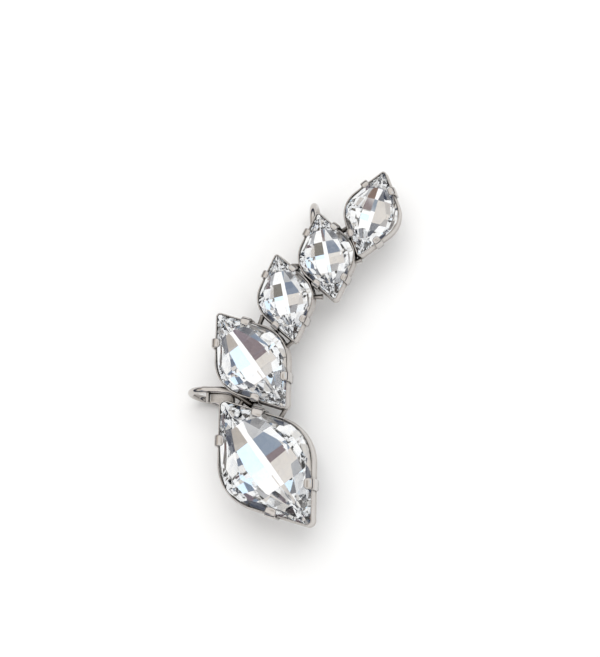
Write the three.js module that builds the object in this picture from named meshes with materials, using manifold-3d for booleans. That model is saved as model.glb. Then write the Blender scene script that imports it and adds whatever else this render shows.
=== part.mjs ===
// Ear cuff: five clear foil-backed lemon-shaped crystals, each in its own claw setting. The settings are
// soldered side by side in a curved row. A wire clip at the left goes round the ear's outer edge, and a
// smaller wire hook at the upper end goes round the ear's top edge. Millimetres, +Z up, the cuff lying
// face up on the two wires. The origin is the middle of its box, at the lowest level.
import * as THREE from 'three';
import { mergeVertices } from 'three/addons/utils/BufferGeometryUtils.js';
import Module from 'manifold-3d';

const wasm = await Module();
wasm.setup();

// ---- Driving dimensions ----
const EAR_GAP = 4.3;            // between the back of the settings and the rear wire arms
const WIRE = 0.9;               // clip and hook wire, diameter
const BASE_Z = WIRE + EAR_GAP;  // back face of every setting
const FLANK = THREE.MathUtils.degToRad(37); // between a stone's straight flank and its long axis
const ASPECT = 1.575;           // length over width of a setting
const TIP_RADIUS = 0.073;       // of half the length of a setting
const RIM = 0.28;               // thickness of a setting's upper wall
const STONE_GAP = 0.12;         // between a crystal and the metal around it
const RIM_LIP = 0.12;           // height of the rim above the girdle
const SEAT_DEPTH = 0.5;         // the wall is thicker from this far below the girdle
const SEAT_WALL = 0.6;
const BACK_LIP = 1.0;           // width of the flat lip round the open back
const BACK_LIP_HEIGHT = 0.35;
const FLANGE = 0.14;            // how far the foot of the wall stands out
const FLANGE_HEIGHT = 0.4;
const ARC_STEPS = 10;           // facets round the broad side of an outline
const TIP_STEPS = 4;            // facets round a tip
const MIN_RADIUS = 0.05;        // a tip with a smaller radius is a corner

// Crystals, by half the width of the crystal.
const CROWN = 0.37;             // height above the girdle
const PAVILION = 0.46;          // depth below the girdle
const BASE_CLEAR = 0.45;        // millimetres from the lowest point of a crystal to the back face

// Claws, with sizes for the large setting and for a small one.
const CLAW_PLACE = 0.6;         // along half the length, on the flanks
const CLAW_THICK = 0.42;
const CLAW_FOOT = 0.3;          // above the back face

// One row per setting: its outer length, the place of its middle and the turn of its long axis.
const SETTINGS = [
  {
    name: 'crystal_large',
    length: 19.0,
    x: -3.14,
    y: -14.35,
    turn: -53.4,
    clawWidth: 1.45,
    clawReach: 0.95,
  },
  {
    name: 'crystal_medium',
    length: 14.8,
    x: -5.18,
    y: -1.48,
    turn: -53.8,
    clawWidth: 1.2,
    clawReach: 0.8,
  },
  {
    name: 'crystal_small_lower',
    length: 11.35,
    x: -1.07,
    y: 6.52,
    turn: -77.8,
    clawWidth: 1.0,
    clawReach: 0.62,
  },
  {
    name: 'crystal_small_middle',
    length: 11.4,
    x: 4.11,
    y: 11.75,
    turn: -78.6,
    clawWidth: 1.0,
    clawReach: 0.62,
  },
  {
    name: 'crystal_small_upper',
    length: 11.2,
    x: 9.81,
    y: 17.09,
    turn: -106.3,
    clawWidth: 1.0,
    clawReach: 0.62,
  },
];

// Short solder rods across the gaps between neighbours: the middle, the direction and the length of each.
const SOLDER_ROD = 0.75;        // diameter
const SOLDER_RODS = [
  { x: -6.5, y: -6.3, turn: 60, length: 2.0 },
  { x: -1.3, y: -7.9, turn: 60, length: 2.0 },
  { x: -4.4, y: 3.7, turn: 70, length: 1.7 },
  { x: -0.6, y: 0.8, turn: 40, length: 1.9 },
  { x: 0.6, y: 10.8, turn: 0, length: 1.5 },
  { x: 2.7, y: 6.8, turn: 0, length: 1.7 },
  { x: 6.1, y: 15.3, turn: 30, length: 1.7 },
  { x: 7.6, y: 11.2, turn: 20, length: 1.8 },
];

// Wires.
const ARM_Z = BASE_Z + WIRE / 2;              // front arms, level with the foot of the settings
const BEND = (ARM_Z - WIRE / 2) / 2;          // radius of a wire's bend, at its middle line
// The front arm runs from its soldered root past the knee to the bend. The bend leads down to the rear
// arm, which ends free.
const CLIP = {
  root: { x: -5.2, y: -7.0 },
  knee: { x: -8.1, y: -5.2 },
  bend: { x: -11.1, y: -4.9 },
  rear: { x: -11.1, y: -5.9 },
  end: { x: -0.2, y: -10.2 },
};
const HOOK = {
  root: { x: 2.3, y: 14.7 },
  knee: { x: 2.25, y: 15.8 },
  bend: { x: 2.2, y: 16.45 },
  rear: { x: 2.2, y: 16.45 },
  end: { x: 2.2, y: 9.6 },
};
const WIRE_SIDES = 10;
const WIRE_STEPS = 30;
const BEND_STEPS = 6;

// The flat tab beside the clip, with its end rolled up.
const TAB = { right: -7.6, left: -10.6, y: -5.95, width: 1.25, thick: 0.3, roll: 0.62 };

const SILVER = { color: 0xbab2ab, roughness: 0.18, metalness: 1 };
const CRYSTAL = { color: 0xf2f4f8, roughness: 0.03, metalness: 0.35 };

// ---- Solids ----
function toSolid(geometry) {
  geometry.deleteAttribute('normal');
  geometry.deleteAttribute('uv');
  const merged = mergeVertices(geometry, 1e-5);
  const mesh = new wasm.Mesh({
    numProp: 3,
    vertProperties: new Float32Array(merged.attributes.position.array),
    triVerts: new Uint32Array(merged.index.array),
  });
  return new wasm.Manifold(mesh);
}

function toGeometry(solid) {
  const mesh = solid.getMesh();
  const geometry = new THREE.BufferGeometry();
  geometry.setAttribute('position', new THREE.BufferAttribute(mesh.vertProperties, 3));
  geometry.setIndex(new THREE.BufferAttribute(mesh.triVerts, 1));
  return geometry;
}

function prism(shape, bottom, top) {
  const geometry = new THREE.ExtrudeGeometry(shape, { depth: top - bottom, bevelEnabled: false });
  geometry.translate(0, 0, bottom);
  return toSolid(geometry);
}

function joined(solids) {
  return solids.reduce((whole, solid) => whole.add(solid));
}

// ---- Outline of a setting ----
// Two broad arcs, four straight flanks tangent to them and two small round tips. The long axis is x.
// offset moves the whole outline outwards; far enough inwards, the round tips become corners.
function lemonPoints(length, offset) {
  const halfLength = length / 2;
  const halfWidth = halfLength / ASPECT;
  const tipRadius = TIP_RADIUS * halfLength;
  const tipX = halfLength - tipRadius;
  const arcY = (halfWidth - tipRadius - tipX * Math.sin(FLANK)) / (1 - Math.cos(FLANK));
  const arcRadius = halfWidth - arcY + offset;
  const quarter = Math.PI / 2;
  const points = [];
  const addArc = (x, y, radius, from, to, steps) => {
    for (let i = 0; i <= steps; i += 1) {
      const angle = from + (to - from) * (i / steps);
      points.push(new THREE.Vector2(x + radius * Math.cos(angle), y + radius * Math.sin(angle)));
    }
  };
  for (const side of [1, -1]) {
    const start = side > 0 ? 0 : Math.PI;
    if (tipRadius + offset > MIN_RADIUS) {
      addArc(side * tipX, 0, tipRadius + offset, start - quarter + FLANK, start + quarter - FLANK, TIP_STEPS);
    } else {
      points.push(new THREE.Vector2(side * (tipX + (tipRadius + offset) / Math.sin(FLANK)), 0));
    }
    addArc(0, side * arcY, arcRadius, start + quarter - FLANK, start + quarter + FLANK, ARC_STEPS);
  }
  return points;
}

function lemonShape(length, offset) {
  return new THREE.Shape(lemonPoints(length, offset));
}

// ---- Crystals ----
// A crystal is a lemon-shaped block cut by flat facets. Each row of facets is named by its slope, by
// how far from the middle it meets the girdle level, and by the directions that it faces.
function facetRows(halfWidth, flankDistance) {
  const flank = Math.PI / 2 - FLANK;
  const flanks = [flank, Math.PI - flank, Math.PI + flank, -flank];
  const sides = [-24, -12, 0, 12, 24].flatMap((turn) => {
    const angle = Math.PI / 2 + THREE.MathUtils.degToRad(turn);
    return [angle, angle + Math.PI];
  });
  const ends = [0, Math.PI];
  return [
    { slope: 0.29, reach: CROWN / 0.29, directions: flanks, up: 1 },
    { slope: 0.78, reach: (flankDistance / halfWidth) + 0.045, directions: flanks, up: 1 },
    { slope: 0.62, reach: 1.06, directions: sides, up: 1 },
    { slope: 0.55, reach: ASPECT - 0.02, directions: ends, up: 1 },
    { slope: 0.5, reach: PAVILION / 0.5, directions: flanks, up: -1 },
    { slope: 1.0, reach: (flankDistance / halfWidth) + 0.035, directions: flanks, up: -1 },
    { slope: 0.9, reach: 1.04, directions: sides, up: -1 },
    { slope: 0.8, reach: ASPECT - 0.02, directions: ends, up: -1 },
  ];
}

function makeCrystal(setting) {
  const inset = RIM + STONE_GAP;
  const halfWidth = setting.length / 2 / ASPECT - inset;
  const tipRadius = (TIP_RADIUS * setting.length) / 2;
  const flankDistance = (setting.length / 2 - tipRadius) * Math.sin(FLANK) + tipRadius - inset;
  const top = CROWN * halfWidth;
  const depth = PAVILION * halfWidth;
  let solid = prism(lemonShape(setting.length, -inset), -depth, top);
  for (const row of facetRows(halfWidth, flankDistance)) {
    for (const direction of row.directions) {
      const normal = new THREE.Vector3(
        row.slope * Math.cos(direction),
        row.slope * Math.sin(direction),
        row.up,
      );
      const distance = (row.slope * row.reach * halfWidth) / normal.length();
      normal.normalize();
      solid = solid.trimByPlane([-normal.x, -normal.y, -normal.z], -distance);
    }
  }
  return solid;
}

function girdleHeight(setting) {
  const halfWidth = setting.length / 2 / ASPECT - RIM - STONE_GAP;
  return BASE_Z + BASE_CLEAR + PAVILION * halfWidth;
}

// ---- Settings ----
function makeWall(setting, girdle) {
  const { length } = setting;
  const rimTop = girdle + RIM_LIP;
  const seat = girdle - SEAT_DEPTH;
  const lipTop = BASE_Z + BACK_LIP_HEIGHT;
  const clear = 0.5;
  return prism(lemonShape(length, 0), BASE_Z, rimTop)
    .add(prism(lemonShape(length, FLANGE), BASE_Z, BASE_Z + FLANGE_HEIGHT))
    .subtract(prism(lemonShape(length, -RIM), seat, rimTop + clear))
    .subtract(prism(lemonShape(length, -SEAT_WALL), lipTop, rimTop))
    .subtract(prism(lemonShape(length, -BACK_LIP), BASE_Z - clear, lipTop + clear));
}

// A claw stands on the outside of a flank and folds over the girdle. Its side view is drawn with x
// outwards from the wall's outer face, and it's cut to a strip with a round end.
function makeClaw(setting, girdle) {
  const { clawWidth, clawReach } = setting;
  const fold = girdle + 0.35;
  const tipLift = 0.42 + 0.5 * clawReach;
  const side = new THREE.Shape();
  side.moveTo(-RIM / 2, BASE_Z + CLAW_FOOT);
  side.lineTo(CLAW_THICK, BASE_Z + CLAW_FOOT);
  side.lineTo(CLAW_THICK, fold);
  const foldTop = girdle + tipLift + CLAW_THICK * 0.85;
  side.quadraticCurveTo(CLAW_THICK, girdle + tipLift + 0.2, -clawReach * 0.3, foldTop);
  side.lineTo(-clawReach, girdle + tipLift + CLAW_THICK + 0.1);
  side.lineTo(-clawReach, girdle + tipLift + 0.12);
  side.lineTo(-RIM, girdle + RIM_LIP + 0.12);
  side.lineTo(-RIM / 2, girdle + RIM_LIP);
  const bent = new THREE.ExtrudeGeometry(side, { depth: clawWidth, bevelEnabled: false, curveSegments: 5 });
  bent.translate(0, 0, -clawWidth / 2);
  bent.rotateX(Math.PI / 2);

  const radius = clawWidth * 0.42;
  const corner = clawWidth / 2 - radius;
  const plan = new THREE.Shape();
  plan.moveTo(CLAW_THICK + 0.1, -clawWidth / 2);
  plan.lineTo(CLAW_THICK + 0.1, clawWidth / 2);
  plan.lineTo(radius - clawReach, clawWidth / 2);
  plan.absarc(radius - clawReach, corner, radius, Math.PI / 2, Math.PI, false);
  plan.absarc(radius - clawReach, -corner, radius, Math.PI, 1.5 * Math.PI, false);
  const strip = new THREE.ExtrudeGeometry(plan, {
    depth: girdle + 3 - BASE_Z,
    bevelEnabled: false,
    curveSegments: 3,
  });
  strip.translate(0, 0, BASE_Z);
  return toSolid(bent).intersect(toSolid(strip));
}

function placedClaws(setting, girdle) {
  const halfLength = setting.length / 2;
  const tipRadius = TIP_RADIUS * halfLength;
  const flankDistance = (halfLength - tipRadius) * Math.sin(FLANK) + tipRadius;
  const x = CLAW_PLACE * halfLength;
  const y = (flankDistance - x * Math.sin(FLANK)) / Math.cos(FLANK);
  const outward = 90 - THREE.MathUtils.radToDeg(FLANK);
  const claw = makeClaw(setting, girdle);
  return [
    { x, y, turn: outward },
    { x: -x, y, turn: 180 - outward },
    { x: -x, y: -y, turn: 180 + outward },
    { x, y: -y, turn: -outward },
  ].map((place) => claw.rotate([0, 0, place.turn]).translate([place.x, place.y, 0]));
}

function makeSetting(setting) {
  const girdle = girdleHeight(setting);
  return joined([makeWall(setting, girdle), ...placedClaws(setting, girdle)])
    .rotate([0, 0, setting.turn])
    .translate([setting.x, setting.y, 0]);
}

// ---- Wires, tab and solder ----
function makeWire(path) {
  const section = new THREE.Shape();
  section.absarc(0, 0, WIRE / 2, 0, 2 * Math.PI, false);
  const geometry = new THREE.ExtrudeGeometry(section, {
    extrudePath: path,
    steps: WIRE_STEPS,
    bevelEnabled: false,
    curveSegments: WIRE_SIDES / 2,
  });
  return toSolid(geometry);
}

function makeBall(point) {
  const geometry = new THREE.SphereGeometry(WIRE / 2, WIRE_SIDES, 6);
  geometry.translate(point.x, point.y, point.z);
  return toSolid(geometry);
}

// A wire from its soldered root along its front arm, round a half circle down to the level that the
// cuff lies on, and back along its rear arm to a round free end.
function makeHook({ root, knee, bend, rear, end }) {
  const out = new THREE.Vector3(bend.x - knee.x, bend.y - knee.y, 0).normalize();
  const rearZ = WIRE / 2;
  const points = [new THREE.Vector3(root.x, root.y, ARM_Z), new THREE.Vector3(knee.x, knee.y, ARM_Z)];
  for (let i = 0; i <= BEND_STEPS; i += 1) {
    const share = i / BEND_STEPS;
    const turn = Math.PI * share;
    const x = THREE.MathUtils.lerp(bend.x, rear.x, share);
    const y = THREE.MathUtils.lerp(bend.y, rear.y, share);
    const point = new THREE.Vector3(x, y, rearZ + BEND * (1 + Math.cos(turn)));
    points.push(point.addScaledVector(out, BEND * Math.sin(turn)));
  }
  const last = new THREE.Vector3(end.x, end.y, rearZ);
  points.push(points[points.length - 1].clone().lerp(last, 0.5), last);
  return makeWire(new THREE.CatmullRomCurve3(points, false, 'centripetal')).add(makeBall(last));
}

function makeTab() {
  const { left, right, y, width, thick, roll } = TAB;
  const side = new THREE.Shape();
  side.moveTo(right, 0);
  side.lineTo(right, thick);
  side.lineTo(left, thick);
  side.absarc(left, roll, roll - thick, -Math.PI / 2, -1.35 * Math.PI, true);
  side.absarc(left, roll, roll, -1.35 * Math.PI, -Math.PI / 2, false);
  const geometry = new THREE.ExtrudeGeometry(side, { depth: width, bevelEnabled: false, curveSegments: 8 });
  geometry.rotateX(Math.PI / 2);
  geometry.translate(0, y + width / 2, BASE_Z);
  return toSolid(geometry);
}

function makeSolderRod(rod) {
  const geometry = new THREE.CylinderGeometry(SOLDER_ROD / 2, SOLDER_ROD / 2, rod.length, 10);
  geometry.rotateZ(Math.PI / 2);
  geometry.rotateZ(THREE.MathUtils.degToRad(rod.turn));
  geometry.translate(rod.x, rod.y, BASE_Z + 0.1 + SOLDER_ROD / 2);
  return toSolid(geometry);
}

function makeMetalwork() {
  return joined([
    ...SETTINGS.map(makeSetting),
    ...SOLDER_RODS.map(makeSolderRod),
    makeHook(CLIP),
    makeHook(HOOK),
    makeTab(),
  ]);
}

// ---- Assembly ----
function addPiece(group, name, solid, look) {
  const piece = new THREE.Mesh(toGeometry(solid), new THREE.MeshStandardMaterial(look));
  piece.name = name;
  group.add(piece);
  return piece;
}

const cuff = new THREE.Group();
addPiece(cuff, 'metalwork', makeMetalwork(), SILVER);
for (const setting of SETTINGS) {
  const crystal = addPiece(cuff, setting.name, makeCrystal(setting), CRYSTAL);
  crystal.position.set(setting.x, setting.y, girdleHeight(setting));
  crystal.rotation.z = THREE.MathUtils.degToRad(setting.turn);
}
const box = new THREE.Box3().setFromObject(cuff, true);
const middle = box.getCenter(new THREE.Vector3());
cuff.position.set(-middle.x, -middle.y, -box.min.z);

const earCuff = new THREE.Group();
earCuff.add(cuff);

export default earCuff;
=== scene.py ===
"""Ear cuff: foil-backed crystals in soldered claw settings, with a wire clip and a wire hook."""
import math

import bmesh
import bpy
from mathutils import Matrix, Vector


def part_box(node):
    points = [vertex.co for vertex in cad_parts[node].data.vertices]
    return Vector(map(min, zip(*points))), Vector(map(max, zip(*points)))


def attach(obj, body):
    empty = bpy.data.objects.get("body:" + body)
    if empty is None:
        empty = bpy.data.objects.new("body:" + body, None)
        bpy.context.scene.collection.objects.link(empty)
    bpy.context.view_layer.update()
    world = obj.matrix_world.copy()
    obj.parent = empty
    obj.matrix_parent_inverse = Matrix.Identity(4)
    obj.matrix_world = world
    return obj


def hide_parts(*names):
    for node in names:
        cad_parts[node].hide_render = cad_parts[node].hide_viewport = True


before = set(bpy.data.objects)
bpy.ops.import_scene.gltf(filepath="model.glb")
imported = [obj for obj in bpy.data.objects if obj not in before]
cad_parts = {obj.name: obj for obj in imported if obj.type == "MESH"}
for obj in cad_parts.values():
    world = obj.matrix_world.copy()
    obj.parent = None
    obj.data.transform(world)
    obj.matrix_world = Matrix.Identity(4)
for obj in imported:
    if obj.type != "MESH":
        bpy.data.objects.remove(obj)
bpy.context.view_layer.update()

MM = 0.001

# ---- Sizes shared with the CAD model, in millimetres unless they say otherwise ----
EAR_GAP = 4.3
WIRE = 0.9
FLANK = math.radians(37.0)      # between a stone's straight flank and its long axis
ASPECT = 1.575                  # length over width of a setting
TIP_RADIUS = 0.073              # of half the length of a setting
RIM_LIP = 0.12
BACK_LIP = 1.0
BACK_LIP_HEIGHT = 0.35
FLANGE_HEIGHT = 0.4
CROWN = 0.37                    # of half a crystal's width, above the girdle
PAVILION = 0.46                 # of half a crystal's width, below the girdle
CAD_INSET = 0.4                 # from a setting's outline to the CAD crystal
CLAW_PLACE = 0.6                # along half the length, on the flanks
CLAW_THICK = 0.42
CLAW_FOOT = 0.3

# ---- Sizes of the visible model ----
CLAW_SIDES = 16
CLAW_STEPS = 14
CLAW_FOLD = 0.42                # where a claw starts to bend, above the girdle
FLANGE = 0.12                   # a little less than on the CAD model, so that the round tips stay inside it
WIRE_TRIM = 0.01                # off the wires' radius, for the same reason
STONE_DROP = 0.09               # keeps a crystal's ridge under the top of its CAD solid
SHARPEST_TIP = 0.02             # smallest radius at the ends of an outline
STONE_INSET = 0.2               # from a setting's outline to the crystal's girdle

SETTINGS = (
    {"node": "crystal_large", "length": 19.0, "turn": -53.4, "claw_width": 1.45, "claw_reach": 0.95},
    {"node": "crystal_medium", "length": 14.8, "turn": -53.8, "claw_width": 1.2, "claw_reach": 0.8},
    {"node": "crystal_small_lower", "length": 11.35, "turn": -77.8, "claw_width": 1.0, "claw_reach": 0.62},
    {"node": "crystal_small_middle", "length": 11.4, "turn": -78.6, "claw_width": 1.0, "claw_reach": 0.62},
    {"node": "crystal_small_upper", "length": 11.2, "turn": -106.3, "claw_width": 1.0, "claw_reach": 0.62},
)
LARGE_PLACE = Vector((-3.14, -14.35))  # middle of the large crystal in the CAD model's own drawing
BASE_CLEAR = 0.45                      # from the lowest point of a crystal to the back of its setting
BASE_Z = WIRE + EAR_GAP


# ---- Meshes ----
def finish_piece(name, bm, materials, node):
    mesh = bpy.data.meshes.new(name)
    bmesh.ops.scale(bm, vec=(MM, MM, MM), verts=bm.verts)
    bm.normal_update()
    bm.to_mesh(mesh)
    bm.free()
    piece = bpy.data.objects.new(name, mesh)
    bpy.context.collection.objects.link(piece)
    for material in materials:
        mesh.materials.append(material)
    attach(piece, "root")
    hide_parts(node)


def lemon_numbers(length):
    half = length / 2
    tip_radius = TIP_RADIUS * half
    tip_x = half - tip_radius
    arc_y = (half / ASPECT - tip_radius - tip_x * math.sin(FLANK)) / (1 - math.cos(FLANK))
    return half, tip_radius, tip_x, arc_y


def flank_distance(length):
    _, tip_radius, tip_x, _ = lemon_numbers(length)
    return tip_x * math.sin(FLANK) + tip_radius


def lemon_points(length, offset, arc_steps, tip_steps):
    """Two broad arcs and two small round tips joined by straight flanks, with the long axis along x."""
    half, tip_radius, tip_x, arc_y = lemon_numbers(length)
    tip = tip_radius + offset
    if tip < SHARPEST_TIP:
        tip_x += (tip - SHARPEST_TIP) / math.sin(FLANK)
        tip = SHARPEST_TIP
    broad = half / ASPECT - arc_y + offset
    quarter = math.pi / 2
    points = []

    def add_arc(x, y, radius, start, end, steps):
        for i in range(steps + 1):
            angle = start + (end - start) * i / steps
            points.append((x + radius * math.cos(angle), y + radius * math.sin(angle)))

    for side in (1, -1):
        start = 0 if side > 0 else math.pi
        add_arc(side * tip_x, 0, tip, start - quarter + FLANK, start + quarter - FLANK, tip_steps)
        add_arc(0, side * arc_y, broad, start + quarter - FLANK, start + quarter + FLANK, arc_steps)
    return points


def place_of(setting):
    """The matrix that takes a setting's own millimetres to the frame, with z = 0 at the girdle."""
    low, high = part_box(setting["node"])
    middle = (low + high) / 2 / MM
    half_width = setting["length"] / 2 / ASPECT - CAD_INSET
    girdle = low.z / MM + PAVILION * half_width
    turn = Matrix.Rotation(math.radians(setting["turn"]), 4, "Z")
    return Matrix.Translation((middle.x, middle.y, girdle)) @ turn


# ---- Crystals ----
# Facets in fours, one to a quarter of the stone: whether they are on the crown (1) or the pavilion (-1),
# their height over the middle of the stone in half widths, and how they fall along and across it.
QUARTER_FACETS = (
    (1, 0.370, 0.17, 0.27),
    (1, 0.530, 0.29, 0.53),
    (1, 0.640, 0.40, 0.56),
    (-1, 0.400, 0.08, 0.24),
    (-1, 0.466, 0.20, 0.24),
    (-1, 0.596, 0.33, 0.25),
    (-1, 0.800, 0.10, 0.78),
    (-1, 0.950, 0.40, 0.80),
)
# Facets that follow the outline: side, slope, how far from it they meet the girdle's level in half
# widths, and the directions that they face, in degrees from straight across the stone.
BROAD_FACETS = (
    (1, 0.85, 0.03, (-27, -9, 9, 27)),
    (-1, 0.95, 0.03, (-27, -9, 9, 27)),
)
FLANK_FACETS = (
    (1, 0.90, 0.03),
    (-1, 0.95, 0.03),
)
TIP_FACETS = (
    (1, 0.55, 0.02),
    (-1, 0.60, 0.02),
)


def facet_planes(length):
    """Every facet's plane: its side, its slope, its distance at the girdle's level and its direction."""
    half_width = length / 2 / ASPECT - STONE_INSET
    half_length = length / 2 - STONE_INSET
    flank = flank_distance(length) - STONE_INSET
    planes = []
    for side, height, along, across in QUARTER_FACETS:
        slope = math.hypot(along, across)
        lean = math.atan2(across, along)
        for direction in (lean, math.pi - lean, math.pi + lean, -lean):
            planes.append((side, slope, height * half_width / slope, direction))
    for side, slope, stand, turns in BROAD_FACETS:
        for turn in turns:
            direction = math.pi / 2 + math.radians(turn)
            reach = (1 + stand) * half_width
            planes.append((side, slope, reach, direction))
            planes.append((side, slope, reach, direction + math.pi))
    lean = math.pi / 2 - FLANK
    for side, slope, stand in FLANK_FACETS:
        for direction in (lean, math.pi - lean, math.pi + lean, -lean):
            planes.append((side, slope, flank + stand * half_width, direction))
    for side, slope, stand in TIP_FACETS:
        planes.append((side, slope, half_length + stand * half_width, 0))
        planes.append((side, slope, half_length + stand * half_width, math.pi))
    return planes


def cut_facet(bm, side, slope, reach, direction):
    """Cuts off what is outside the plane that is reach from the middle at the girdle's level."""
    normal = Vector((slope * math.cos(direction), slope * math.sin(direction), side))
    point = Vector((reach * math.cos(direction), reach * math.sin(direction), 0))
    found = bmesh.ops.bisect_plane(
        bm,
        geom=bm.verts[:] + bm.edges[:] + bm.faces[:],
        dist=1e-5,
        plane_co=point,
        plane_no=normal.normalized(),
        clear_outer=True,
    )
    edges = [item for item in found["geom_cut"] if isinstance(item, bmesh.types.BMEdge)]
    if edges:
        bmesh.ops.edgeloop_fill(bm, edges=edges)


def make_crystal(setting):
    length = setting["length"]
    half_width = length / 2 / ASPECT - STONE_INSET
    top = CROWN * half_width
    depth = PAVILION * half_width
    bm = bmesh.new()
    outline = lemon_points(length, -STONE_INSET, 10, 4)
    lower = [bm.verts.new((x, y, -depth)) for x, y in outline]
    upper = [bm.verts.new((x, y, top)) for x, y in outline]
    bm.faces.new(lower[::-1])
    bm.faces.new(upper)
    for i in range(len(outline)):
        j = (i + 1) % len(outline)
        bm.faces.new((lower[i], lower[j], upper[j], upper[i]))
    for plane in facet_planes(length):
        cut_facet(bm, *plane)
    bm.normal_update()
    for face in bm.faces:
        face.material_index = 1 if face.normal.z < -0.02 else 0
        face.smooth = False
    place = place_of(setting) @ Matrix.Translation((0, 0, -STONE_DROP))
    bmesh.ops.transform(bm, matrix=place, verts=bm.verts)
    node = setting["node"]
    finish_piece("cut_" + node, bm, (crystal_glass(), crystal_foil()), node)


# ---- Settings ----
def wall_profile(base, rim_top):
    """Round the wall's section, anticlockwise: how far outside the outline, and how high."""
    lip_top = base + BACK_LIP_HEIGHT
    return (
        (-BACK_LIP, base + 0.05), (-BACK_LIP + 0.05, base), (FLANGE - 0.08, base), (FLANGE, base + 0.08),
        (FLANGE, base + FLANGE_HEIGHT - 0.12), (FLANGE - 0.05, base + FLANGE_HEIGHT - 0.04),
        (0.02, base + FLANGE_HEIGHT), (0, base + FLANGE_HEIGHT + 0.08),
        (0, rim_top - 0.08), (-0.02, rim_top - 0.03), (-0.08, rim_top), (-0.14, rim_top - 0.02),
        (-0.17, rim_top - 0.08), (-0.18, -0.3), (-0.45, -0.5), (-0.5, lip_top + 0.15),
        (-0.6, lip_top), (-BACK_LIP, lip_top - 0.05),
    )


def sweep_rings(bm, rings, closed):
    """Quads between rings of points of the same number. closed joins the last ring to the first."""
    made = [[bm.verts.new(point) for point in ring] for ring in rings]
    count = len(made[0])
    last = len(made) if closed else len(made) - 1
    for a in range(last):
        one, two = made[a], made[(a + 1) % len(made)]
        for i in range(count):
            j = (i + 1) % count
            face = bm.faces.new((one[i], one[j], two[j], two[i]))
            face.smooth = True
    if not closed:
        bm.faces.new(made[0][::-1])
        bm.faces.new(made[-1])


def make_claw(bm, place, width, reach, foot):
    """A flat strip up the outside of the wall, folded over the girdle, with a round end."""
    stations = []
    fold = CLAW_FOLD
    outside = CLAW_THICK / 2 - 0.04
    lift = 0.60 + 0.45 * reach
    for i in range(4):
        z = foot + (fold - 0.15 - foot) * i / 3
        stations.append(((outside, z), (0, 1)))
    p0, p1 = Vector((outside, fold - 0.1)), Vector((outside, lift + 0.02))
    p2, p3 = Vector((outside - 0.35, lift)), Vector((-reach, lift + 0.12))
    for i in range(1, CLAW_STEPS + 1):
        t = i / CLAW_STEPS
        s = 1 - t
        point = s ** 3 * p0 + 3 * s * s * t * p1 + 3 * s * t * t * p2 + t ** 3 * p3
        slope = 3 * s * s * (p1 - p0) + 6 * s * t * (p2 - p1) + 3 * t * t * (p3 - p2)
        stations.append(((point.x, point.y), tuple(slope.normalized())))
    rings = []
    total = len(stations)
    length_left = 0.0
    lengths = [0.0] * total
    for i in range(total - 2, -1, -1):
        length_left += (Vector(stations[i][0]) - Vector(stations[i + 1][0])).length
        lengths[i] = length_left
    round_end = width * 0.45
    for (point, along), left in zip(stations, lengths):
        near = max(0.0, 1 - left / round_end)
        narrow = math.sqrt(max(0.0, 1 - near * near)) * 0.62 + 0.38 if near < 1 else 0.38
        thick = 1 - 0.55 * near ** 3
        half_w, half_t = width / 2 * narrow, CLAW_THICK / 2 * thick
        across = Vector((-along[1], along[0]))
        ring = []
        for k in range(CLAW_SIDES):
            angle = 2 * math.pi * (k + 0.5) / CLAW_SIDES
            c, s = math.cos(angle), math.sin(angle)
            wide = half_w * math.copysign(abs(c) ** 0.35, c)
            deep = half_t * math.copysign(abs(s) ** 0.5, s)
            flat = Vector(point) - across * deep
            ring.append(place @ Vector((flat.x, wide, flat.y)))
        rings.append(ring)
    sweep_rings(bm, rings, False)


def make_setting(setting):
    length = setting["length"]
    half_width = length / 2 / ASPECT - CAD_INSET
    base = -(PAVILION * half_width + BASE_CLEAR)
    bm = bmesh.new()
    rings = [
        [(x, y, z) for x, y in lemon_points(length, offset, 26, 8)]
        for offset, z in wall_profile(base, RIM_LIP)
    ]
    sweep_rings(bm, rings, True)
    x = CLAW_PLACE * length / 2
    y = (flank_distance(length) - x * math.sin(FLANK)) / math.cos(FLANK)
    outward = math.pi / 2 - FLANK
    for side_x, side_y, turn in ((1, 1, outward), (-1, 1, math.pi - outward),
                                 (-1, -1, math.pi + outward), (1, -1, -outward)):
        place = Matrix.Translation((side_x * x, side_y * y, 0)) @ Matrix.Rotation(turn, 4, "Z")
        make_claw(bm, place, setting["claw_width"], setting["claw_reach"], base + CLAW_FOOT)
    bmesh.ops.recalc_face_normals(bm, faces=bm.faces)
    bmesh.ops.transform(bm, matrix=place_of(setting), verts=bm.verts)
    name = setting["node"].replace("crystal", "setting")
    finish_piece(name, bm, (silver(),), "metalwork")


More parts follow.
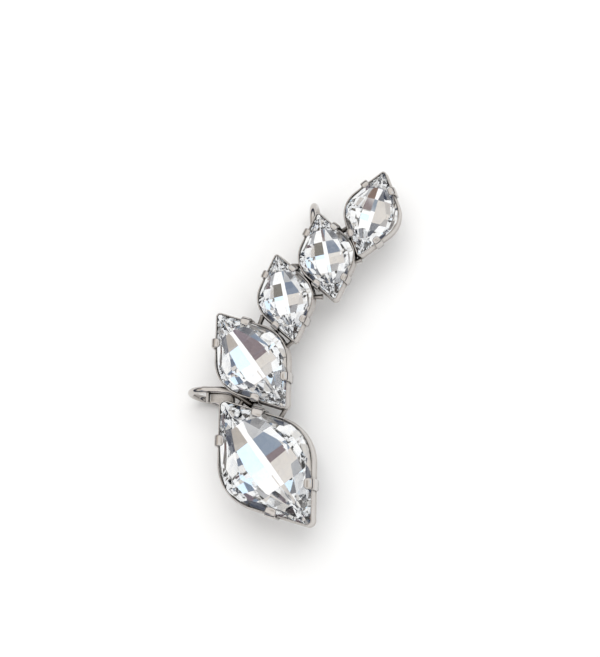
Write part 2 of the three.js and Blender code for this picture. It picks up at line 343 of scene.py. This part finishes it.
# ---- Wires, tab and solder ----
ARM_Z = BASE_Z + WIRE / 2
BEND = (ARM_Z - WIRE / 2) / 2
BEND_STEPS = 10
WIRE_SIDES = 24
CLIP = {
    "root": (-5.2, -7.0),
    "knee": (-8.1, -5.2),
    "bend": (-11.1, -4.9),
    "rear": (-11.1, -5.9),
    "end": (-0.2, -10.2),
}
HOOK = {
    "root": (2.3, 14.7),
    "knee": (2.25, 15.8),
    "bend": (2.2, 16.45),
    "rear": (2.2, 16.45),
    "end": (2.2, 9.6),
}
TAB = {"right": -7.6, "left": -10.6, "y": -5.95, "width": 1.25, "thick": 0.3, "roll": 0.62}
SOLDER = 0.75                           # thickness of a solder joint at its ends
SOLDER_WAIST = 0.62
SOLDER_SIDES = 20
SOLDER_JOINTS = (
    {"x": -6.5, "y": -6.3, "turn": 60, "length": 2.0},
    {"x": -1.3, "y": -7.9, "turn": 60, "length": 2.0},
    {"x": -4.4, "y": 3.7, "turn": 70, "length": 1.7},
    {"x": -0.6, "y": 0.8, "turn": 40, "length": 1.9},
    {"x": 0.6, "y": 10.8, "turn": 0, "length": 1.5},
    {"x": 2.7, "y": 6.8, "turn": 0, "length": 1.7},
    {"x": 6.1, "y": 15.3, "turn": 30, "length": 1.7},
    {"x": 7.6, "y": 11.2, "turn": 20, "length": 1.8},
)
ROUND_END = (0.0, 0.4, 0.7, 0.87, 0.96, 0.995)


def drawing_to_frame():
    """What to add to a point of the CAD model's own drawing to have it in the frame."""
    low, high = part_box("crystal_large")
    middle = (low + high) / 2 / MM
    lift = low.z / MM - BASE_Z - BASE_CLEAR
    return Vector((middle.x - LARGE_PLACE.x, middle.y - LARGE_PLACE.y, lift))


def smooth_line(points, steps):
    """A smooth line through the points with the given number of steps between each two."""
    ends = [2 * points[0] - points[1], *points, 2 * points[-1] - points[-2]]
    line = []
    for a, b, c, d in zip(ends, ends[1:], ends[2:], ends[3:]):
        for i in range(steps):
            t = i / steps
            turn = 2 * b + (c - a) * t
            turn += (2 * a - 5 * b + 4 * c - d) * t ** 2
            turn += (3 * b - a - 3 * c + d) * t ** 3
            line.append(turn / 2)
    line.append(points[-1])
    return line


def sweep_tube(bm, line, radii, sides):
    """A round tube along line, with a radius for every point of it and no twist."""
    tangent = (line[1] - line[0]).normalized()
    across = tangent.orthogonal().normalized()
    rings = []
    for i, (point, radius) in enumerate(zip(line, radii)):
        ahead = (line[min(i + 1, len(line) - 1)] - line[max(i - 1, 0)]).normalized()
        across = tangent.rotation_difference(ahead) @ across
        tangent = ahead
        other = tangent.cross(across)
        angles = [2 * math.pi * k / sides for k in range(sides)]
        rings.append([point + radius * (math.cos(t) * across + math.sin(t) * other) for t in angles])
    sweep_rings(bm, rings, False)


def wire_line(wire):
    """The middle line of a wire: front arm, half circle down to the lowest level, and rear arm."""
    knee, bend, rear, end = (Vector(wire[name]) for name in ("knee", "bend", "rear", "end"))
    out = (bend - knee).normalized()
    points = [Vector((*wire["root"], ARM_Z)), Vector((*knee, ARM_Z))]
    for i in range(BEND_STEPS + 1):
        share = i / BEND_STEPS
        turn = math.pi * share
        flat = bend.lerp(rear, share) + out * BEND * math.sin(turn)
        points.append(Vector((flat.x, flat.y, WIRE / 2 + BEND * (1 + math.cos(turn)))))
    last = Vector((*end, WIRE / 2))
    points.append(points[-1].lerp(last, 0.5))
    points.append(last)
    return smooth_line(points, 8)


def make_wire(name, wire):
    shift = drawing_to_frame()
    line = [point + shift for point in wire_line(wire)]
    radius = WIRE / 2 - WIRE_TRIM
    radii = [radius] * (len(line) - 1)
    tail = (line[-1] - line[-2]).normalized()
    tip = line.pop()
    for share in ROUND_END:
        line.append(tip + tail * radius * share)
        radii.append(radius * math.sqrt(1 - share ** 2))
    bm = bmesh.new()
    sweep_tube(bm, line, radii, WIRE_SIDES)
    bmesh.ops.recalc_face_normals(bm, faces=bm.faces)
    finish_piece(name, bm, (silver(),), "metalwork")


def make_tab():
    """A flat strip beside the clip with its end rolled up, with softened edges."""
    shift = drawing_to_frame()
    half_thick = TAB["thick"] / 2
    roll = TAB["roll"] - half_thick
    path = []
    for i in range(7):
        x = TAB["right"] + (TAB["left"] - TAB["right"]) * i / 6
        path.append((Vector((x, half_thick)), Vector((-1, 0))))
    for i in range(1, 19):
        turn = math.radians(153) * i / 18
        point = Vector((TAB["left"] - roll * math.sin(turn), half_thick + roll * (1 - math.cos(turn))))
        path.append((point, Vector((-math.cos(turn), math.sin(turn)))))
    rings = []
    for i, (point, along) in enumerate(path):
        thin = 0.5 if i == len(path) - 1 else 1.0
        side = Vector((-along.y, along.x))
        ring = []
        for k in range(20):
            angle = 2 * math.pi * (k + 0.5) / 20
            wide = TAB["width"] / 2 * math.copysign(abs(math.cos(angle)) ** 0.25, math.cos(angle))
            deep = half_thick * thin * math.copysign(abs(math.sin(angle)) ** 0.6, math.sin(angle))
            flat = point + side * deep
            ring.append(Vector((flat.x, TAB["y"] + wide, BASE_Z + flat.y)) + shift)
        rings.append(ring)
    bm = bmesh.new()
    sweep_rings(bm, rings, False)
    bmesh.ops.recalc_face_normals(bm, faces=bm.faces)
    finish_piece("rolled_tab", bm, (silver(),), "metalwork")


def make_solder():
    """Short joints between neighbouring settings, thinner in the middle than where they flow on."""
    shift = drawing_to_frame()
    bm = bmesh.new()
    for joint in SOLDER_JOINTS:
        along = Vector((math.cos(math.radians(joint["turn"])), math.sin(math.radians(joint["turn"])), 0))
        middle = Vector((joint["x"], joint["y"], BASE_Z + 0.1 + SOLDER / 2)) + shift
        line = []
        radii = []
        for i in range(13):
            share = i / 6 - 1
            line.append(middle + along * share * joint["length"] / 2)
            radii.append((SOLDER_WAIST + (SOLDER - SOLDER_WAIST) * share * share) / 2)
        sweep_tube(bm, line, radii, SOLDER_SIDES)
    bmesh.ops.recalc_face_normals(bm, faces=bm.faces)
    finish_piece("solder_joints", bm, (silver(),), "metalwork")


# ---- Materials ----
PAINTED_SHADE_REACH = 0.0015          # metres from a neighbouring surface within which the plate is darkened as painted shade


def new_material(name):
    found = bpy.data.materials.get(name)
    if found:
        return found, None, None
    material = bpy.data.materials.new(name)
    material.use_nodes = True
    tree = material.node_tree
    return material, tree, tree.nodes["Principled BSDF"]


def noise(tree, scale, detail, stretch=(1, 1, 1)):
    """Noise by place in the part. scale is per metre."""
    place = add_node(tree, "ShaderNodeTexCoord").outputs["Object"]
    if stretch != (1, 1, 1):
        mapping = add_node(tree, "ShaderNodeMapping")
        mapping.inputs["Scale"].default_value = stretch
        tree.links.new(place, mapping.inputs["Vector"])
        place = mapping.outputs["Vector"]
    node = add_node(tree, "ShaderNodeTexNoise")
    node.inputs["Scale"].default_value = scale
    node.inputs["Detail"].default_value = detail
    tree.links.new(place, node.inputs["Vector"])
    return node.outputs["Fac"]


def spread(tree, value, low, high, start=0.3, end=0.7):
    """A value that is low where the given one is start and high where it is end."""
    node = add_node(tree, "ShaderNodeMapRange")
    tree.links.new(value, node.inputs["Value"])
    node.inputs["From Min"].default_value = start
    node.inputs["From Max"].default_value = end
    node.inputs["To Min"].default_value = low
    node.inputs["To Max"].default_value = high
    return node.outputs["Result"]


def add_bump(tree, shader, height, strength, distance):
    node = add_node(tree, "ShaderNodeBump")
    node.inputs["Strength"].default_value = strength
    node.inputs["Distance"].default_value = distance
    tree.links.new(height, node.inputs["Height"])
    tree.links.new(node.outputs["Normal"], shader.inputs["Normal"])


def crystal_glass():
    """Clear crystal, with the faintest haze of handling on its polish."""
    material, tree, shader = new_material("cut crystal")
    if tree:
        shader.inputs["IOR"].default_value = 1.58
        shader.inputs["Transmission Weight"].default_value = 1.0
        haze = noise(tree, 900, 3)
        tint = mix_colour(tree, haze, (1, 1, 1), (0.975, 0.985, 1.0))
        tree.links.new(tint, shader.inputs["Base Color"])
        tree.links.new(spread(tree, haze, 0.0, 0.012, 0.45, 0.75), shader.inputs["Roughness"])
    return material


def crystal_foil():
    """Silver foil on the back of a crystal, slightly uneven."""
    material, tree, shader = new_material("silver foil")
    if tree:
        shader.inputs["Metallic"].default_value = 1.0
        uneven = noise(tree, 1400, 4)
        tint = mix_colour(tree, spread(tree, uneven, 0, 1), (0.90, 0.91, 0.93), (0.97, 0.97, 0.96))
        tree.links.new(tint, shader.inputs["Base Color"])
        tree.links.new(spread(tree, uneven, 0.008, 0.03), shader.inputs["Roughness"])
    return material


def silver():
    """Polished rhodium plate: fine polishing lines, faint smears, and painted shade darkening the crevices
    and the sides that face nearby parts.
    """
    material, tree, shader = new_material("rhodium plate")
    if tree:
        shader.inputs["Metallic"].default_value = 1.0
        cloud = noise(tree, 700, 4)
        lines = noise(tree, 2500, 3, (1, 6, 1))
        plate = mix_colour(tree, spread(tree, cloud, 0, 1), (0.53, 0.50, 0.475), (0.60, 0.57, 0.545))
        # Painted shade: the plate colour runs to near black where other surfaces are close, in crevices
        # between parts and on the undersides of wires.
        painted_shade_ao = add_node(tree, "ShaderNodeAmbientOcclusion", samples=8)
        painted_shade_ao.inputs["Distance"].default_value = PAINTED_SHADE_REACH
        share = spread(tree, painted_shade_ao.outputs["AO"], 0, 1, 0.30, 0.88)
        tint = mix_colour(tree, share, (0.055, 0.048, 0.042), plate)
        tree.links.new(tint, shader.inputs["Base Color"])
        tree.links.new(spread(tree, cloud, 0.07, 0.17), shader.inputs["Roughness"])
        add_bump(tree, shader, lines, 0.12, 0.00003)
    return material


def floor_paper():
    material, tree, shader = new_material("white paper")
    if tree:
        grain = noise(tree, 350, 5)
        tint = mix_colour(tree, grain, (0.94, 0.94, 0.94), (0.96, 0.96, 0.955))
        tree.links.new(tint, shader.inputs["Base Color"])
        shader.inputs["Roughness"].default_value = 0.75
    return material


# ---- Stage ----
VIEW_SIDE = Vector((0.152, -0.152, 0.977))     # from the cuff towards the camera
PICTURE_MIDDLE = Vector((1.32, 2.25, 8.0))
PICTURE_HEIGHT = 82.1                          # millimetres at the cuff
CAMERA_LENS = 100.0
SENSOR = 36.0
FLOOR_HALF = 1.5                               # metres


def make_camera():
    data = bpy.data.cameras.new("camera")
    data.lens = CAMERA_LENS
    data.sensor_width = SENSOR
    camera = bpy.data.objects.new("camera", data)
    bpy.context.collection.objects.link(camera)
    distance = PICTURE_HEIGHT * CAMERA_LENS / SENSOR
    side = VIEW_SIDE.normalized()
    camera.location = (PICTURE_MIDDLE + side * distance) * MM
    camera.rotation_mode = "QUATERNION"
    camera.rotation_quaternion = Vector((0, 0, 1)).rotation_difference(side)
    data.clip_start, data.clip_end = 0.01, 10
    bpy.context.scene.camera = camera


def make_floor():
    bm = bmesh.new()
    bmesh.ops.create_grid(bm, x_segments=1, y_segments=1, size=FLOOR_HALF)
    mesh = bpy.data.meshes.new("floor")
    bm.to_mesh(mesh)
    bm.free()
    floor = bpy.data.objects.new("floor", mesh)
    bpy.context.collection.objects.link(floor)
    mesh.materials.append(floor_paper())


def make_light(name, place, target, size, power):
    data = bpy.data.lights.new(name, "AREA")
    data.shape = "RECTANGLE"
    data.size, data.size_y = size
    data.energy = power
    lamp = bpy.data.objects.new(name, data)
    bpy.context.collection.objects.link(lamp)
    lamp.visible_glossy = False
    lamp.visible_transmission = False
    lamp.location = place
    lamp.rotation_mode = "QUATERNION"
    lamp.rotation_quaternion = (Vector(target) - Vector(place)).to_track_quat("-Z", "Y")


# Cards round the cuff: azimuth from the right and polar angle from overhead of the middle, in degrees,
# half width along the azimuth and half height in degrees, softness in degrees, and colour.
ROOM = (1.16, 1.15, 1.13)
CARDS = (
    (165, 56, 32, 13, 8, (0.74, 0.69, 0.635)),
    (21, 37.5, 17, 5, 2, (0.92, 1.14, 1.35)),
    (74, 43, 7, 5, 3, (1.05, 1.25, 1.40)),
    (0, 0, 11, 11, 5, (0.72, 0.69, 0.65)),
    (226, 56, 20, 5.3, 0.8, (0.21, 0.27, 0.36)),
    (212, 52, 5, 6, 0.8, (0.17, 0.21, 0.29)),
    (229, 46, 12, 4.7, 0.8, (0.18, 0.125, 0.14)),
    (345, 37.5, 8, 4, 0.8, (0.18, 0.165, 0.14)),
    (343.5, 58, 3.5, 6, 0.8, (0.20, 0.125, 0.115)),
    (350, 56, 3, 5, 0.8, (0.52, 0.47, 0.42)),
    (289, 57, 6, 5, 0.8, (0.20, 0.12, 0.085)),
    (312, 38, 6, 3, 0.8, (0.20, 0.14, 0.14)),
    (314, 33, 7, 2.4, 0.8, (0.08, 0.09, 0.115)),
    (305, 22, 8, 3, 0.8, (0.20, 0.25, 0.32)),
    (41, 51, 3.5, 3, 0.8, (0.17, 0.12, 0.09)),
    (259, 59, 7, 5, 0.8, (0.20, 0.15, 0.18)),
)
LOW_ROOM = (0.06, 0.07, 0.10)
LOW_EDGE = (61, 71)                  # polar angles between which the room darkens to LOW_ROOM


def add_node(tree, kind, **settings):
    node = tree.nodes.new(kind)
    for name, value in settings.items():
        setattr(node, name, value)
    return node


def math_node(tree, operation, first, second=None, clamp=False):
    node = add_node(tree, "ShaderNodeMath", operation=operation, use_clamp=clamp)
    for socket, value in zip(node.inputs, (first, second)):
        if isinstance(value, bpy.types.NodeSocket):
            tree.links.new(value, socket)
        elif value is not None:
            socket.default_value = value
    return node.outputs["Value"]


def fade(tree, value, start, end):
    """0 up to start and 1 from end on, smoothly, or the other way round where end is less than start."""
    node = add_node(tree, "ShaderNodeMapRange", interpolation_type="SMOOTHSTEP")
    tree.links.new(value, node.inputs["Value"])
    if start < end:
        low, high, first, last = start, end, 0, 1
    else:
        low, high, first, last = end, start, 1, 0
    node.inputs["From Min"].default_value = low
    node.inputs["From Max"].default_value = high
    node.inputs["To Min"].default_value = first
    node.inputs["To Max"].default_value = last
    return node.outputs["Result"]


def mix_colour(tree, share, first, second):
    node = add_node(tree, "ShaderNodeMix", data_type="RGBA", clamp_factor=True)
    tree.links.new(share, node.inputs[0])
    for socket, value in ((node.inputs[6], first), (node.inputs[7], second)):
        if isinstance(value, bpy.types.NodeSocket):
            tree.links.new(value, socket)
        else:
            socket.default_value = (*value, 1)
    return node.outputs[2]


def dot_with(tree, vector, direction):
    node = add_node(tree, "ShaderNodeVectorMath", operation="DOT_PRODUCT")
    tree.links.new(vector, node.inputs[0])
    node.inputs[1].default_value = direction
    return node.outputs["Value"]


def make_world():
    world = bpy.data.worlds.new("studio")
    world.use_nodes = True
    bpy.context.scene.world = world
    tree = world.node_tree
    background = tree.nodes["Background"]
    direction = add_node(tree, "ShaderNodeTexCoord").outputs["Generated"]
    height = dot_with(tree, direction, (0, 0, 1))
    low = fade(tree, height, math.cos(math.radians(LOW_EDGE[0])), math.cos(math.radians(LOW_EDGE[1])))
    colour = mix_colour(tree, low, ROOM, LOW_ROOM)
    for azimuth, polar, half_width, half_height, soft, tint in CARDS:
        azimuth, polar = math.radians(azimuth), math.radians(polar)
        level = math.sin(polar)
        forward = Vector((math.cos(azimuth) * level, math.sin(azimuth) * level, math.cos(polar)))
        across = Vector((-math.sin(azimuth), math.cos(azimuth), 0))
        upward = forward.cross(across)
        ahead = dot_with(tree, direction, forward)
        share = fade(tree, ahead, 0.0, 0.1)
        half_across = half_width * level if polar > 0.2 else half_width
        for axis, half in ((across, half_across), (upward, half_height)):
            slant = math_node(tree, "ARCTAN2", dot_with(tree, direction, axis), ahead)
            slant = math_node(tree, "ABSOLUTE", slant)
            inside = fade(tree, slant, math.radians(half + soft / 2), math.radians(half - soft / 2))
            share = math_node(tree, "MULTIPLY", share, inside)
        colour = mix_colour(tree, share, colour, tint)
    tree.links.new(colour, background.inputs["Color"])
    background.inputs["Strength"].default_value = 1.0


def make_stage():
    make_camera()
    make_floor()
    make_world()
    make_light("overhead", (0.05, 0.25, 0.6), (0, 0, 0), (0.5, 0.4), 1.5)
    bpy.context.scene.view_settings.view_transform = "Standard"
    cycles = bpy.context.scene.cycles
    cycles.max_bounces = 32
    cycles.glossy_bounces = 16
    cycles.transmission_bounces = 24


make_stage()
for setting in SETTINGS:
    make_crystal(setting)
    make_setting(setting)
make_wire("ear_clip", CLIP)
make_wire("ear_hook", HOOK)
make_tab()
make_solder()
